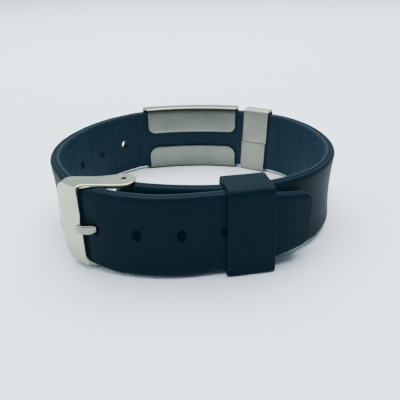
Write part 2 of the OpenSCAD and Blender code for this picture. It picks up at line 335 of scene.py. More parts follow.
def strap_at(along, out, z):
    """Point of the lying strap in metres. With e the height as a share of half the width, the
    edges curl outwards in the side bends by e^2 less a constant, the upper edge rises by e
    beside the arm, and the lower edge sags by e in front and along the tongue. In the end
    the height falls evenly from the front to the back."""
    along, out, z = np.broadcast_arrays(along, out, z)
    share = 2 * z / WIDTH
    curl = FLARE * (stretch(along, *RIGHT_BEND) + stretch(along, *LEFT_BEND)) * (share**2 - FLARE_REST)
    points = lay(along, out + curl, MIDDLE + z)
    rise = TOP_RISE * stretch(along, *BESIDE_ARM) + NEAR_RISE * stretch(along, *NEAR_BAR)
    sag = stretch(along, *IN_FRONT) + TONGUE_SAG * slope((along - TONGUE[0]) / TONGUE[1])
    edges = rise * np.clip(share, 0, 1) - LOW_SAG * sag * np.clip(-share, 0, 1)
    points[..., 2] += edges * MM - LEAN * points[..., 1]
    return points


def strap_uv(along, out):
    """The strap's UV: centimetres along it, and 0 on the inner face to 1 on the outer."""
    return np.stack(np.broadcast_arrays(along / 10, 0.5 + out / THICK), -1)


# %% The strap's stations
END_R = 0.45  # rounding of the band's two ends
BAND_FROM, TIP_FROM = 2.3, TOTAL - END_R
tip_turn = np.linspace(0, np.pi / 2, 13)[1:-1]
breaks = np.concatenate([[BAND_FROM, TOTAL - TIP_R], holes - PATCH, holes + PATCH,
                         lines - LINE_HALF, lines + LINE_HALF])
stations = np.concatenate([
    spread(np.sort(breaks), STEP),
    *[np.linspace(h - PATCH, h + PATCH, PATCH_STEPS + 1) for h in holes],
    *[np.linspace(c - LINE_HALF, c + LINE_HALF, LINE_POINTS) for c in lines],
    TOTAL - TIP_R * (1 - np.sin(tip_turn)), [TIP_FROM]])
stations = thinned(np.unique(stations[stations <= TIP_FROM]), 2e-3)
# Inside a hole's square only the square's own stations stay
near_hole = np.abs(stations[:, None] - holes).min(1)
patch_step = near_hole * PATCH_STEPS / (2 * PATCH)
on_step = np.abs(patch_step - patch_step.round()) < 1e-3
stations = stations[(near_hole > PATCH - 1e-3) | on_step]
print(f"strap: {len(stations)} stations, {len(holes)} holes, {len(lines)} short lines")

# %% [markdown]
# ## The strap's holes
#
# A grid has no round holes, and a boolean would leave long thin faces that shade badly.
# So each hole has a square patch left out of the grid on both faces. One surface fills
# it: it starts on the square, runs in to the rim, rolls over it, goes through the strap
# and ends on the square of the other face.

# %% The band's grid, with a square left out at each hole
S, O = np.meshgrid(stations, section_out, indexing="ij")
Z = np.broadcast_to(section_z, S.shape)
moulded = O + np.where(np.abs(O + half) < 1e-6, relief(S, Z), 0)
middle_s = (stations[:-1] + stations[1:]) / 2
in_hole = np.abs(middle_s[:, None] - holes).min(1) < PATCH
flat_face = np.abs(np.abs(section_out) - half) < 1e-6
low_face = flat_face & (np.abs(section_z) <= PATCH + 1e-6)
in_square = low_face & np.roll(low_face, -1)
band_keep = ~(in_hole[:, None] & in_square[None, :])
band_part = grid(strap_at(S, moulded, fit(Z, S)), strap_uv(S, O), band_keep, wrap=True)
print(f"band: {len(band_part[1])} quads")


# %% The band's two ends
def closed_end(along, outwards):
    """An end face: the section moves on by a quarter circle's sine while its thickness drops
    by one minus the cosine. Its last ring lies flat on the strap's middle plane, where the
    inner and the outer half take the mean of their heights and so close on each other."""
    c, s = quarter(6)
    at = np.append(along + outwards * END_R * s, along + outwards * END_R)[:, None]
    thinner = np.append(1 - END_R * (1 - c) / half, 0)[:, None]
    lined = section_out + np.where(section_out + half < 1e-6, relief(at, section_z), 0)
    shared = (up_z + up_z[::-1]) / 2
    heights = np.tile(section_z, (len(at), 1))
    heights[-1] = np.concatenate([shared, -shared[::-1][1:-1]])
    points = strap_at(at, lined * thinner, fit(heights, at))
    return grid(points, strap_uv(at, section_out), wrap=True)


# %% The holes
def hole_part(centre):
    """Surface of one hole. Round it, the running angle follows the square's points. Through
    it, the radius runs from the square to the rim, a quarter circle rolls over the rim, and
    the bore joins the two faces. In front the ovals sit a little higher than on the side."""
    wide, lift = (FRONT_WIDE, FRONT_LIFT) if centre > PRONG_HOLE - 1 else (SIDE_WIDE, SIDE_LIFT)
    side = np.linspace(-PATCH, PATCH, PATCH_STEPS + 1)[:-1]
    s = np.concatenate([side, np.full(PATCH_STEPS, PATCH), -side, np.full(PATCH_STEPS, -PATCH)])
    z = np.concatenate([np.full(PATCH_STEPS, -PATCH), side, np.full(PATCH_STEPS, PATCH), -side])
    angle = np.arctan2(z, s)
    c, q = quarter(HOLE_RINGS)
    oval_s, oval_z = wide * np.cos(angle), lift + HOLE_HIGH * np.sin(angle)
    grow = np.concatenate([np.full(HOLE_RINGS, RIM_R), RIM_R * (1 - q[1:])])[:, None]
    share = np.concatenate([np.linspace(1, 0, HOLE_RINGS), np.zeros(HOLE_RINGS - 1)])[:, None]
    ring_s = oval_s + grow * np.cos(angle)
    ring_z = oval_z + grow * np.sin(angle)
    ring_s = centre + ring_s + (s - ring_s) * share
    ring_z = ring_z + (z - ring_z) * share
    ring_o = np.concatenate([np.full(HOLE_RINGS, half), half - RIM_R * (1 - c[1:])])[:, None]
    ring_o = np.broadcast_to(ring_o, ring_s.shape)
    s, z = (np.concatenate([r, r[::-1]]) for r in (ring_s, ring_z))
    o = np.concatenate([ring_o, -ring_o[::-1]])
    return grid(strap_at(s, o, fit(z, s)), strap_uv(s, o), wrap=True)


hole_parts = [hole_part(h) for h in holes]
print("hole surfaces of", len(hole_parts[0][1]), "quads each")

# %% [markdown]
# ## The strap's end round the pin
#
# The strap's hidden end is rolled round the spring bar, and forked in the middle to leave
# room for the prong. Each half is a short tube, with a neck that runs into the band. A
# boolean could join them to the band, but nothing of it shows, so they are closed forms that
# sink into it.

# %% Tubes and round-cornered outlines
def tube(profile, steps=48):
    """Closed outline of radius and height, turned once round the pin's axis."""
    angle = np.linspace(0, 2 * np.pi, steps, endpoint=False)[:, None]
    r, z = np.array(profile).T
    x = pin_at[0] + r * np.cos(angle)
    y = pin_at[1] + r * np.sin(angle)
    points = np.stack([x, y, np.broadcast_to(z, x.shape)], -1) * MM
    points = np.concatenate([points, points[:, :1]], 1)
    return grid(np.concatenate([points, points[:1]], 0))


def round_outline(a0, a1, b0, b1, radii, n=5):
    """Rectangle from (a0, b0) to (a1, b1) with a radius for each corner, counter-clockwise
    from (a1, b0)."""
    c, s = quarter(n)
    corners = [((a1, b0), (-1, 1), s, c), ((a1, b1), (-1, -1), c, s),
               ((a0, b1), (1, -1), s, c), ((a0, b0), (1, 1), c, s)]
    points = []
    for ((a, b), (da, db), fa, fb), r in zip(corners, radii):
        points.append(np.stack([a + da * r * (1 - fa), b + db * r * (1 - fb)], -1))
    return np.concatenate(points)


# %% The forked end
LOOP_R, BORE_R = 1.9, 0.9
FORK_HALF = 1.4
end_lift = -LEAN * pin_at[1]
end_low, end_high = MIDDLE - WIDTH / 2 + end_lift, MIDDLE + WIDTH / 2 + end_lift
# Stations of a neck, from inside its tube to inside the band, and its size at each
neck_s = np.array([1.1, 1.1, 2.0, 2.9, 2.9])[:, None]
neck_size = np.array([0, 1, 1, 1, 0])[:, None]
knuckles = []
for low, high, radii in [(end_low, MIDDLE - FORK_HALF, (0.5, 0.25, 0.2, 0.2)),
                         (MIDDLE + FORK_HALF, end_high, (0.25, 0.5, 0.2, 0.2))]:
    knuckles.append(tube(round_outline(BORE_R, LOOP_R, low, high, radii)))
    neck = round_outline(-half, half, low, high, (0.3,) * 4)
    neck_mid = (low + high) / 2
    neck_z = neck_mid + (neck[:, 1] - neck_mid) * neck_size
    knuckles.append(grid(lay(neck_s, neck[:, 0] * neck_size, neck_z), wrap=True))
print(f"forked end: from {end_low:.2f} to {end_high:.2f} mm high")

# %% Join the strap
ends = [closed_end(BAND_FROM, -1), closed_end(TIP_FROM, 1)]
strap = solid("strap_moulding", [band_part, *ends, *hole_parts, *knuckles])
print(f"strap: {len(strap.data.polygons)} faces")

# %% [markdown]
# ## The keeper
#
# The keeper is a silicone loop round both layers. A cube with a hole and a bevel would do
# for it, but its corners differ from each other, and its far side is wider at the bottom. So
# it is one ring: an inner and an outer round-cornered rectangle give its wall, and the wall's
# own section is a rectangle with rolled corners, which leaves no sharp edge anywhere.

# %% A straight frame, and pairs of outlines
def beside(at, turn, along, out, z):
    """Point in metres in a straight frame: along its heading, outwards from it, and up."""
    along, out, z = np.broadcast_arrays(along, out, z)
    x = at[0] + along * math.cos(turn) + out * math.sin(turn)
    y = at[1] + along * math.sin(turn) - out * math.cos(turn)
    return np.stack([x, y, z], -1) * MM


def ring_pair(inner, outer, step=1.0):
    """Two outlines of equal count, filled so that their points still match."""
    both = np.concatenate([inner, outer], 1)
    following = np.roll(both, -1, 0)
    runs = []
    for a, b in zip(both, following):
        n = max(1, math.ceil(np.linalg.norm((b - a)[2:]) / step))
        runs.append(a + (b - a) * np.linspace(0, 1, n, endpoint=False)[:, None])
    both = np.concatenate(runs)
    return both[:, :2], both[:, 2:]


# %% Build the keeper
KEEPER_FROM, KEEPER_TO, KEEPER_TOP = 5.4, 15.6, 20.3
KEEPER_OUT, KEEPER_IN = 1.4, 5.3  # reach of the opening from the strap's middle, both ways
KEEPER_WALL, KEEPER_CAP = 1.1, 0.9  # thickness beside the strap, and over and under it
KEEPER_ROLL, KEEPER_FLARE = 0.32, 0.04  # rolled edges; widening of the far side downwards
INNER_CORNERS, OUTER_CORNERS = (0.5,) * 4, (1.0, 1.4, 1.2, 1.0)

inner = round_outline(-KEEPER_IN, KEEPER_OUT, KEEPER_CAP, KEEPER_TOP - KEEPER_CAP, INNER_CORNERS, 7)
outer = round_outline(-KEEPER_IN - KEEPER_WALL, KEEPER_OUT + KEEPER_WALL, 0, KEEPER_TOP,
                      OUTER_CORNERS, 7)
inner, outer = ring_pair(inner, outer)
depth, reach = round_outline(0, 1, KEEPER_FROM, KEEPER_TO, (KEEPER_ROLL,) * 4, 6).T[..., None]
far_share = (reach - KEEPER_FROM) / (KEEPER_TO - KEEPER_FROM)
wall = outer + (inner - outer) * depth[..., None]
flared = reach + KEEPER_FLARE * far_share * (MIDDLE - wall[..., 1])
keeper_points = beside(knots[KEEPER_ROW], headings[KEEPER_ROW], flared, wall[..., 0], wall[..., 1])
keeper_points = np.concatenate([keeper_points, keeper_points[:1]])
outer_uv = np.ones((*keeper_points.shape[:2], 2))  # the outer face's tone all over
keeper = solid("keeper_loop", [grid(keeper_points, outer_uv, wrap=True)])
print(f"keeper: {len(keeper.data.polygons)} faces")

# %% [markdown]
# ## Folded steel: the plate and the clip
#
# Both are thin sheet bent round the strap. They could be cut from blocks, but a sheet is
# easiest as its outer skin only: a grid that follows the fold in one direction and the
# strap's route in the other. Solidify gives it the sheet's thickness inwards, and a small
# Bevel breaks its cut edges. The UV map holds centimetres along and round the sheet, for the
# brushing.

# %% The fold and the sheet
BAND_H = 20.0  # height of plate and clip


def run_along(points):
    """Distance of every point of a polyline from its first: the sum of the steps before it."""
    return np.concatenate([[0], np.cumsum(np.linalg.norm(np.diff(points, axis=0), axis=1))])


def fold_path(free_z, seam_z, side, top, r):
    """Outer skin of a fold seen end on, from the upper free edge over the top, down the
    outer side, under the bottom and up to the lower free edge. Rows are out and height."""
    c, s = quarter(7)
    return np.concatenate([
        np.stack([np.full(8, -side), np.linspace(free_z, top - r, 8)], -1)[:-1],
        np.stack([-side + r * (1 - c), top - r + r * s], -1),
        np.stack([np.linspace(-side + r, side - r, 4), np.full(4, top)], -1)[1:-1],
        np.stack([side - r * (1 - s), top - r * (1 - c)], -1),
        np.stack([np.full(12, side), np.linspace(top - r, r, 12)], -1)[1:-1],
        np.stack([side - r * (1 - c), r * (1 - s)], -1),
        np.stack([np.linspace(side - r, -side + r, 4), np.zeros(4)], -1)[1:-1],
        np.stack([-side + r * (1 - s), r * (1 - c)], -1),
        np.stack([np.full(8, -side), np.linspace(r, seam_z, 8)], -1)[1:]])


def sheet(name, points, uv, thickness, break_edge):
    """A sheet of even thickness inwards from its outer skin, with its cut edges broken."""
    piece = solid(name, [grid(points.swapaxes(0, 1), uv.swapaxes(0, 1))], turn_out=False)
    thick = piece.modifiers.new("thickness", "SOLIDIFY")
    thick.thickness = thickness * MM
    thick.offset = -1
    thick.use_even_offset = True
    cut = piece.modifiers.new("broken edges", "BEVEL")
    cut.width = break_edge * MM
    cut.segments = 3
    cut.limit_method = "ANGLE"
    cut.angle_limit = math.radians(50)
    cut.harden_normals = False
    return piece


# %% The plate's fold, seen end on
PLATE_SIDE, PLATE_SHEET, PLATE_FOLD_R = 2.0, 0.7, 1.0
UPPER_TAB, LOWER_TAB, FOLD_H = 7.9, 7.3, 1.2  # depths of the tabs and of the fold above them
UPPER_R, LOWER_R = 2.2, 2.8
NEAR_TRIM, FAR_TRIM = 0.45, 1.1  # how far the tabs stop short of the plate's ends
plate_from, plate_to = marks[PLATE_ROW], marks[PLATE_ROW + 1]

plate_path = fold_path(BAND_H - UPPER_TAB, LOWER_TAB, PLATE_SIDE, BAND_H, PLATE_FOLD_R)
fold_in = np.clip(-plate_path[:, 0] / PLATE_SIDE, 0, 1) ** 2
upper = plate_path[:, 1] > MIDDLE
tab_r = np.where(upper, UPPER_R, LOWER_R)
tab_h = np.where(upper, UPPER_TAB, LOWER_TAB)
below_fold = np.where(upper, BAND_H - plate_path[:, 1], plate_path[:, 1]) - FOLD_H
down_tab = np.where(fold_in > 0.999, np.clip(below_fold / (tab_h - FOLD_H), 0, 1), 0)
print(f"plate: {plate_to - plate_from:.1f} mm along the strap's middle")

# %% Build the plate
corner = np.linspace(0, np.pi / 2, 11)
corner_run = (1 - np.cos(corner))[:, None]
between = np.linspace(0, 1, 28)[1:-1, None]
# Share of its radius by which a tab's free edge is cut back at either corner
cut_back = np.concatenate([1 - np.sin(corner), 0 * between[:, 0], 1 - np.sin(corner[::-1])])[:, None]


def edge_run(start, stop, r):
    """Stations from start to stop, the first and last ones spaced as on a quarter circle."""
    inside = start + r + (stop - start - 2 * r) * between
    return np.concatenate([start + r * corner_run, inside, stop - r * corner_run[::-1]])


face_s = edge_run(plate_from, plate_to, UPPER_R)
tab_s = edge_run(plate_from + NEAR_TRIM, plate_to - FAR_TRIM, tab_r)
plate_along = face_s + (tab_s - face_s) * fold_in
plate_z = plate_path[:, 1] + np.where(upper, 1, -1) * cut_back * tab_r * down_tab
plate_points = lay(plate_along, plate_path[:, 0], plate_z)
plate_uv = np.stack(np.broadcast_arrays(face_s, run_along(plate_path)), -1) / 10
plate = sheet("id_plate_sheet", plate_points, plate_uv, PLATE_SHEET, 0.12)

# %% Build the clip
CLIP_SIDE, CLIP_SHEET, CLIP_FOLD_R = 1.9, 0.6, 0.9
SEAM_Z, SEAM = 9.6, 0.16  # height and width of the butt seam
SLIP, SKEW = 0.25, 0.035  # the lower end has slipped along the strap; the clip stands askew
SLIP_FROM, SLIP_OVER = 0.62, 0.2  # where the slip sets in and over what, as shares of the girth
clip_path = fold_path(SEAM_Z + SEAM / 2, SEAM_Z - SEAM / 2, CLIP_SIDE, BAND_H, CLIP_FOLD_R)
girth = run_along(clip_path)
clip_s = np.linspace(marks[CLIP_ROW], marks[CLIP_ROW + 1], 13)[:, None]
slip = SLIP * np.clip((girth / girth[-1] - SLIP_FROM) / SLIP_OVER, 0, 1)
clip_along = clip_s + slip + SKEW * (MIDDLE - clip_path[:, 1])
clip_points = lay(clip_along, clip_path[:, 0], clip_path[:, 1])
clip_uv = np.stack(np.broadcast_arrays(clip_s, girth), -1) / 10
clip = sheet("clip_band", clip_points, clip_uv, CLIP_SHEET, 0.1)
print("plate and clip: skins of", len(plate.data.polygons), "and", len(clip.data.polygons), "faces")

# %% [markdown]
# ## The buckle's frame
#
# The frame is one casting: a lug and an arm below, a broad slanted bar, and an arm and a lug
# above. A box model with subdivision would give a soft shape like it, but not its outline to
# a tenth of a millimetre. So four rails run the whole way along its four long edges, and the
# skin is stretched between them. A section between the rails has rolled corners, and on the
# bar its outer side swells a little, so that the polished metal catches a soft band of light.
# The holes in the lugs are plain and round, so a boolean drills them afterwards.

# %% Points on the bar and along a line
FRAME_H, LUG_R, LUG_AT, ARM_END = 20.3, 2.95, -0.35, -6.4
BAR_WAY, BAR_IN = math.radians(140), math.radians(50)  # headings along the bar and into it
BAR_FROM = (-9.02, -4.21)  # where the distance along the bar starts
BAR_T, BAR_EDGE_T = 0.95, 0.85  # thickness of the bar, and of its near edge
ARM_T, LUG_MORE = 0.85, 0.15  # thickness of the upper arm, and what it gains towards the lug
LOW_ARM_FROM, LOW_ARM_TO = 0.35, 1.1  # heights of the lower arm's two faces


def on_bar(rows):
    """Points of the bar from rows of distance along its slanted face, depth behind it and
    height, in the frame whose origin is the pin."""
    d, depth, z = np.array(rows, float).T
    x = BAR_FROM[0] + d * math.cos(BAR_WAY) + depth * math.cos(BAR_IN)
    y = BAR_FROM[1] + d * math.sin(BAR_WAY) + depth * math.sin(BAR_IN)
    return np.stack([x, y, z], -1)


def at_length(points, s):
    """Points of a polyline at distances s from its start."""
    run = run_along(points)
    return np.stack([np.interp(s, run, column) for column in points.T], -1)


# %% One rail of half the frame
def rail(arm, bend, face, soft):
    """One long edge of half the frame: the arm, the way to the crease, and the bar's face up
    to half height. The crease is a quadratic curve that starts and ends soft mm beside it."""
    bend = np.concatenate([arm[-1:], np.array(bend, float), face[:1]])
    before = at_length(bend, np.linspace(0, run_along(bend)[-1] - soft, 13))
    after = at_length(face[:-1], np.linspace(soft, run_along(face[:-1])[-1], 15))
    t = np.linspace(0, 1, 7)[1:-1, None]
    crease = (1 - t) ** 2 * before[-1] + 2 * t * (1 - t) * face[0] + t**2 * after[0]
    up = after[-1] + (face[-1] - after[-1]) * np.linspace(0, 1, 9)[1:, None]
    return np.concatenate([arm, before[1:], crease, after, up])


# %% The arm's outline from above
# The far edge follows the lug's circle until LUG_END from its centre, and the near edge until
# the centre itself. Past that each edge goes through a few points.
LUG_END = -1.4
lug_x = LUG_AT + LUG_R * np.sin(np.linspace(np.pi / 2, math.asin(LUG_END / LUG_R), 24))
arm_x = np.concatenate([lug_x, np.linspace(lug_x[-1], ARM_END, 9)[1:]])
lug_y = np.sqrt(np.maximum(0, LUG_R**2 - (arm_x - LUG_AT) ** 2))
near_y = np.where(arm_x > LUG_AT, LUG_AT - lug_y,
                  np.interp(arm_x, [-6.4, -4.4, -2.4, LUG_AT], [-2.95, -3.12, -3.29, LUG_AT - LUG_R]))
far_y = np.where(arm_x > LUG_AT + LUG_END - 0.01, LUG_AT + lug_y,
                 np.interp(arm_x, [-6.4, -5.2, -3.6, -2.2, -1.75], [1.47, 1.49, 1.8, 2.13, 2.246]))


def arm_edge(y, z):
    """One edge of the arm: its outline seen from above, at a height."""
    return np.stack([arm_x, y, np.full_like(arm_x, z)], -1)


print(f"arm: {len(arm_x)} stations, from {arm_x[0]:.2f} to {arm_x[-1]:.2f} mm beside the pin")

# %% The rails
# Each half is written as the lower one, and the upper half's rails are then turned over. A
# rail's rows are the bend's x, y and height, then the bar's distance, depth and height. The
# lower arm is lifted off the floor, so its rows differ.
middle = FRAME_H / 2
arm_deep = ARM_T + LUG_MORE * slope((arm_x + 5.5) / 2)
upper_rails = [
    rail(arm_edge(near_y, 0), [(-8.2, -2.95, 0), (-8.65, -3.12, 0), (-8.95, -3.5, 0)],
         on_bar([(0.2, 0, 0), (0.42, 0, 0.35), (0.6, 0, 0.85), (0.7, 0, 1.5), (0.7, 0, middle)]), 0.2),
    rail(arm_edge(far_y, 0), [(-11.4, 1.6, 0), (-12.05, 1.42, 0), (-12.5, 0.8, 0), (-12.75, 0, 0)],
         on_bar([(5.0, 0, 0), (5.7, 0, 0.35), (6.35, 0, 0.95), (6.82, 0, 1.5), (7.1, 0, 2.5),
                 (7.24, 0, 4.0), (7.55, 0, 6.2), (7.75, 0, middle)]), 0.2),
    rail(arm_edge(far_y, arm_deep), [(-11.2, 1.45, 0.85), (-11.8, 0.95, 0.87)],
         on_bar([(5.0, BAR_T, 0.95), (5.9, BAR_T, 1.3), (6.5, BAR_T, 1.8), (6.85, BAR_T, 2.5),
                 (7.05, BAR_T, 3.5), (7.2, BAR_T, 4.6), (7.35, BAR_T, 6.4), (7.4, BAR_T, middle)]), 0.2),
    rail(arm_edge(near_y, arm_deep), [(-7.9, -2.95, 0.85)],
         np.concatenate([[(-8.55, -2.98, 1.0), (-8.85, -3.03, 1.35)],
                         on_bar([(0.7, BAR_EDGE_T, 1.9), (0.7, BAR_EDGE_T, middle)])]), 0.2)]
lower_rails = [
    rail(arm_edge(near_y, LOW_ARM_FROM), [(-8.0, -2.98, 0.6), (-8.75, -3.2, 0.8), (-9.05, -3.7, 0.88)],
         on_bar([(0.1, 0, 0.9), (0.5, 0, 1.6), (0.7, 0, 2.6), (0.7, 0, 3.2), (0.7, 0, middle)]), 1.2),
    rail(arm_edge(far_y, LOW_ARM_FROM), [(-10.8, 1.5, 0.5), (-11.9, 0.9, 0.8)],
         on_bar([(5.0, 0, 1.0), (5.9, 0, 1.4), (6.55, 0, 2.0), (7.05, 0, 3.0), (7.4, 0, 4.4),
                 (7.58, 0, 6.0), (7.75, 0, middle)]), 1.2),
    rail(arm_edge(far_y, LOW_ARM_TO), [(-10.6, 1.45, 1.1), (-11.5, 0.8, 1.12)],
         on_bar([(5.0, BAR_T, 1.25), (5.9, BAR_T, 1.8), (6.5, BAR_T, 2.5), (6.95, BAR_T, 3.4),
                 (7.2, BAR_T, 4.8), (7.35, BAR_T, 6.2), (7.4, BAR_T, middle)]), 0.6),
    rail(arm_edge(near_y, LOW_ARM_TO), [(-6.9, -2.95, 1.25), (-7.8, -2.95, 1.62)],
         np.concatenate([[(-8.5, -3.0, 2.1), (-8.85, -3.05, 2.75)],
                         on_bar([(0.7, BAR_EDGE_T, 3.9), (0.7, BAR_EDGE_T, middle)])]), 0.4)]


def turned_over(half_rail):
    """A lower rail as an upper one, with its points in the order that goes on upwards."""
    return (half_rail * [1, 1, -1] + [0, 0, FRAME_H])[::-1]


rails = [np.concatenate([low, turned_over(high)[1:]]) for low, high in zip(lower_rails, upper_rails)]
print(f"frame: four rails of {len(rails[0])} points")


# %% A section with rolled corners
def rolled_square(ra, rb, n=5):
    """Outline of a unit square with rolled corners. ra and rb are the corner's two radii,
    one row for each station; a runs across the piece and b through it."""
    c, s = quarter(n)
    mid = np.linspace(0, 1, 9)[1:-1]
    few = np.linspace(0, 1, 4)[1:-1]
    none = 0 * ra
    a = [ra + (1 - 2 * ra) * mid, 1 - ra * (1 - s), 1 + none * few, 1 - ra * (1 - c),
         1 - ra - (1 - 2 * ra) * mid, ra * (1 - s), none * few, ra * (1 - c)]
    b = [none * mid, rb * (1 - c), rb + (1 - 2 * rb) * few, 1 - rb * (1 - s),
         1 + none * mid, 1 - rb * (1 - c), 1 - rb - (1 - 2 * rb) * few, rb * (1 - s)]
    return np.concatenate(a, 1), np.concatenate(b, 1)


# %% The frame's skin
ARM_ROLL, BAR_ROLL, BAR_SWELL = 0.3, 0.24, 0.12
ARM_ZONE = 1.2  # height that an arm takes at either end, and then the change to the bar
near_out, far_out, far_in, near_in = (r[:, None] for r in rails)
wide = np.linalg.norm(far_out - near_out, axis=2)
deep = np.linalg.norm(near_in - near_out, axis=2)
# 0 on the arms and 1 on the bar, by the distance from the frame's upper or lower end
from_end = np.minimum(near_in[..., 2], FRAME_H - near_in[..., 2])
bar_part = slope((from_end - ARM_ZONE) / ARM_ZONE)
roll = ARM_ROLL + (BAR_ROLL - ARM_ROLL) * bar_part
a, b = rolled_square(np.minimum(roll / np.maximum(wide, 0.01), 0.49), np.minimum(roll / deep, 0.49))
a, b = a[..., None], b[..., None]
# Every point is the mean of the four rails, weighed by its place in the square
skin = (1 - a) * (1 - b) * near_out + a * (1 - b) * far_out + a * b * far_in + (1 - a) * b * near_in
inwards = (near_in - near_out) / deep[..., None]
# Only the near edge is thin: the bar is at its full thickness by a fifth of its breadth
thicker = (BAR_T - BAR_EDGE_T) * (np.clip(a * 5.5, 0, 1) - a)
skin = skin + bar_part[..., None] * (BAR_SWELL * (2 * a - 1) ** 2 * (1 - b) + thicker * b) * inwards
buckle = solid("buckle_casting", [grid((skin + [*pin_at, 0]) * MM, wrap=True)])
print(f"buckle frame: bar {wide.max():.2f} mm broad at most")

# %% Drill the lugs
DRILL_R = 0.6 * MM
drill_mesh = bpy.data.meshes.new("drill")
work = bmesh.new()
drill_at = Matrix.Translation((pin_at[0] * MM, pin_at[1] * MM, FRAME_H / 2 * MM))
bmesh.ops.create_cone(work, cap_ends=True, segments=40, radius1=DRILL_R, radius2=DRILL_R,
                      depth=(FRAME_H + 4) * MM, matrix=drill_at)
work.to_mesh(drill_mesh)
work.free()
drill = bpy.data.objects.new("drill", drill_mesh)
bpy.context.scene.collection.objects.link(drill)


def apply_modifiers(piece):
    """Takes the piece's evaluated mesh as its own and drops the modifiers."""
    ready = piece.evaluated_get(bpy.context.evaluated_depsgraph_get())
    mesh = bpy.data.meshes.new_from_object(ready)
    piece.modifiers.clear()
    piece.data = mesh


cut = buckle.modifiers.new("pin hole", "BOOLEAN")
cut.operation, cut.solver, cut.object = "DIFFERENCE", "EXACT", drill
apply_modifiers(buckle)
bpy.data.objects.remove(drill)
buckle.data.set_sharp_from_angle(angle=math.radians(40))
print(f"buckle frame: {len(buckle.data.polygons)} faces")

# %% [markdown]
# ## The spring bar and the prong
#
# The spring bar is turned, so it is a profile spun round its axis, as the Screw modifier would
# do. The prong is a strip bent to a path: round the pin, through its hole in the strap, over
# the bar, with a wider round tip. A curve with a bevel could follow that path, but it would
# need a taper that differs in its two directions, so the section is laid along it here.

# %% Build the spring bar
PIN_R, PIN_TIP_R = 0.8, 0.45
PIN_LIFT = 0.27  # the lower end stands this much higher, since the lower arm is lifted
# Radius and height of the lower end, up to the shoulder
half_pin = np.array([
    (0, 0.3), (0.33, 0.3), (0.42, 0.33), (PIN_TIP_R, 0.42), (PIN_TIP_R, 0.95), (0.5, 0.97),
    (0.74, 0.97), (PIN_R, 1.03), (PIN_R, 1.67), (0.76, 1.75), (0.6, 1.79), (0.6, 1.97),
    (0.74, 2.01), (0.78, 2.07)])
profile = np.concatenate([half_pin + [0, PIN_LIFT], (half_pin * [1, -1] + [0, FRAME_H])[::-1]])
pin_r, pin_z = profile.T
angle = np.linspace(0, 2 * np.pi, 41)[:, None]
pin_points = np.stack(np.broadcast_arrays(
    pin_at[0] + pin_r * np.cos(angle), pin_at[1] + pin_r * np.sin(angle), pin_z), -1) * MM
spring_bar = solid("spring_bar", [grid(pin_points)])
spring_bar.data.set_sharp_from_angle(angle=math.radians(35))
print(f"spring bar: {pin_z[-1] - pin_z[0]:.2f} mm long")


# %% The prong's path
def smooth(points, rounds=4):
    """Corner cutting: every round puts two points a quarter in from each end of a side."""
    points = np.asarray(points, float)
    for _ in range(rounds):
        a, b = points[:-1], points[1:]
        cut = np.stack([a * 0.75 + b * 0.25, a * 0.25 + b * 0.75], 1).reshape(-1, 2)
        points = np.concatenate([points[:1], cut, points[-1:]])
    return points


PRONG_T, PRONG_W, PRONG_TIP_W, PRONG_END = 0.9, 1.25, 2.0, 1.0
prong_way = smooth([(-0.6, -1.25), (-4.2, -1.45), (-5.0, -2.3), (-5.7, -3.7), (-6.3, -4.75),
                    (-7.6, -5.0), (-9.1, -4.7), (-10.4, -3.8)])
tip_from = run_along(prong_way)[-1] - PRONG_END
round_steps = np.sin(np.linspace(0, np.pi / 2, 10)[1:])
even = np.concatenate([spread([0, tip_from], 0.2), tip_from + PRONG_END * round_steps])
way = at_length(prong_way, even)
ahead = np.gradient(way, axis=0)
ahead /= np.linalg.norm(ahead, axis=1)[:, None]
aside = np.stack([ahead[:, 1], -ahead[:, 0]], -1)
print(f"prong: {tip_from + PRONG_END:.1f} mm from the pin to the tip")

# %% Build the prong
RING_R, RING_BORE_R, RING_W = 1.7, 0.9, 2.0
WIDEN_FROM, WIDEN_OVER = 6.0, 2.5  # where the prong starts to widen, and over what length
TIP_THINNER = 0.35  # share of the thickness that is lost at the tip
into_tip = np.clip((even - tip_from) / PRONG_END, 0, 1)
widening = slope((even - WIDEN_FROM) / WIDEN_OVER)
# The width ends as half an ellipse, which stops just short of a point
half_w = (PRONG_W + (PRONG_TIP_W - PRONG_W) * widening) / 2 * np.sqrt(1 - into_tip**2 * 0.999)
half_t = PRONG_T / 2 * (1 - TIP_THINNER * into_tip**2)
phase = np.linspace(0, 2 * np.pi, 33)[:-1]
# The section is a squarish oval: cosine and sine raised to a power below one
squareness = 0.45
across = np.sign(np.cos(phase)) * np.abs(np.cos(phase)) ** squareness
through = np.sign(np.sin(phase)) * np.abs(np.sin(phase)) ** squareness
flat = way[:, None, :] + aside[:, None, :] * (half_t[:, None] * through)[..., None] + pin_at
# The prong's middle rises until just past the hole, and sinks a little towards the tip
centre_z = MIDDLE + np.interp(even, [0, 5, 7.5, 9.5, 12.5], [0, 0.95, 1.0, 0.85, 0.8])
prong_z = centre_z[:, None] + half_w[:, None] * across
prong_points = np.concatenate([flat, prong_z[..., None]], -1) * MM
# Each end closes on its own middle point
first, final = (np.broadcast_to(prong_points[k].mean(0), prong_points[:1].shape) for k in (0, -1))
prong_points = np.concatenate([first, prong_points, final])
ring = tube(round_outline(RING_BORE_R, RING_R, MIDDLE - RING_W / 2, MIDDLE + RING_W / 2, (0.3,) * 4))
prong = solid("prong_strip", [grid(prong_points, wrap=True), ring])
print(f"prong: {len(prong.data.polygons)} faces")

# %% [markdown]
# ## Shared effects
#
# Two effects appear in more than one finish: the fine grain of a surface, and the smudges of
# handling. They could be painted, but noise has no seams and no resolution. Each is a node
# group that is built once. Grain is fine noise that gives a value and a height. Smudge is
# slow noise that gives a mask.

